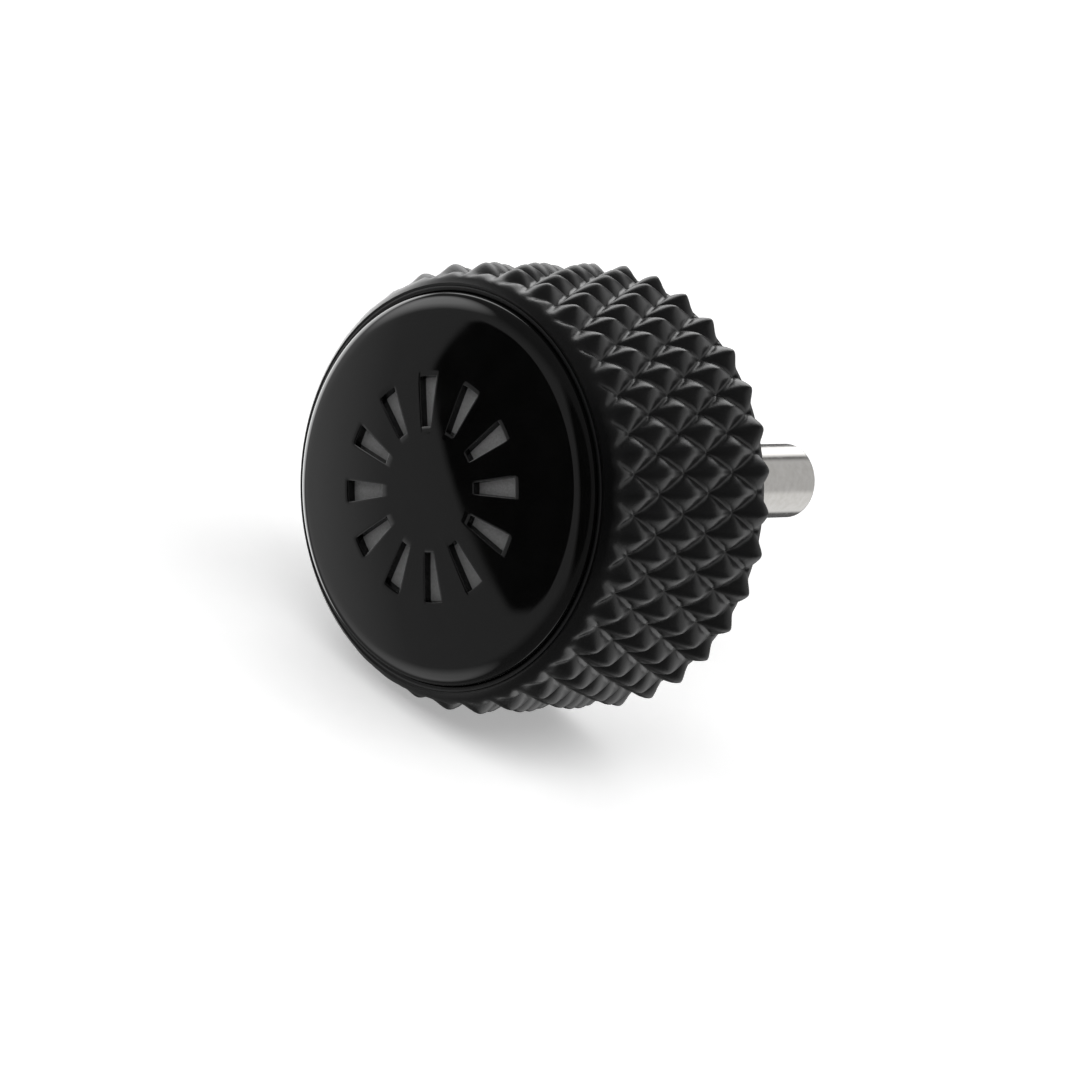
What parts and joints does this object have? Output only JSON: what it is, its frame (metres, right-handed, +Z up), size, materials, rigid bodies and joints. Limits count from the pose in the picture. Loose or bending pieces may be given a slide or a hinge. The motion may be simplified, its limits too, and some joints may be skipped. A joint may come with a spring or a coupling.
{
  "type": "watch crown",
  "caption": "Screw-down watch crown: knurled black head with a glossy domed cap, sealed guide pipe and a sprung, tapped steel post for the winding stem.",
  "frame": {"origin": "centre of the skirt's rear face, where the crown meets the watch case", "axes": "+Y along the crown's axis from the cap towards the post's end, +Z up with the crown lying on its knurled side"},
  "size_m": [0.007, 0.0088, 0.007],
  "materials": {
    "black_steel": "satin black hard coating on steel",
    "black_gloss": "mirror-polished black coating, markers blasted grey",
    "turned_steel": "fine turned stainless steel",
    "polished_steel": "polished stainless steel",
    "spring_steel": "drawn spring wire",
    "seal_rubber": "matte black nitrile rubber"
  },
  "bodies": {
    "crown": {"crown_head": "black_steel", "end_cap": "black_gloss", "guide_pipe": "turned_steel", "retaining_ring": "turned_steel", "coil_spring": "spring_steel", "pipe_o_ring": "seal_rubber", "tube_gasket": "seal_rubber", "gasket_washer": "turned_steel"},
    "post": {"stem_post": "polished_steel"}
  },
  "joints": [
    {"name": "post_slide", "type": "slide", "parent": "crown", "child": "post", "axis": [0, -1, 0], "range_m": [0, 0.0015], "stiffness_N_per_m": 1000, "deforming": ["coil_spring"]}
  ]
}
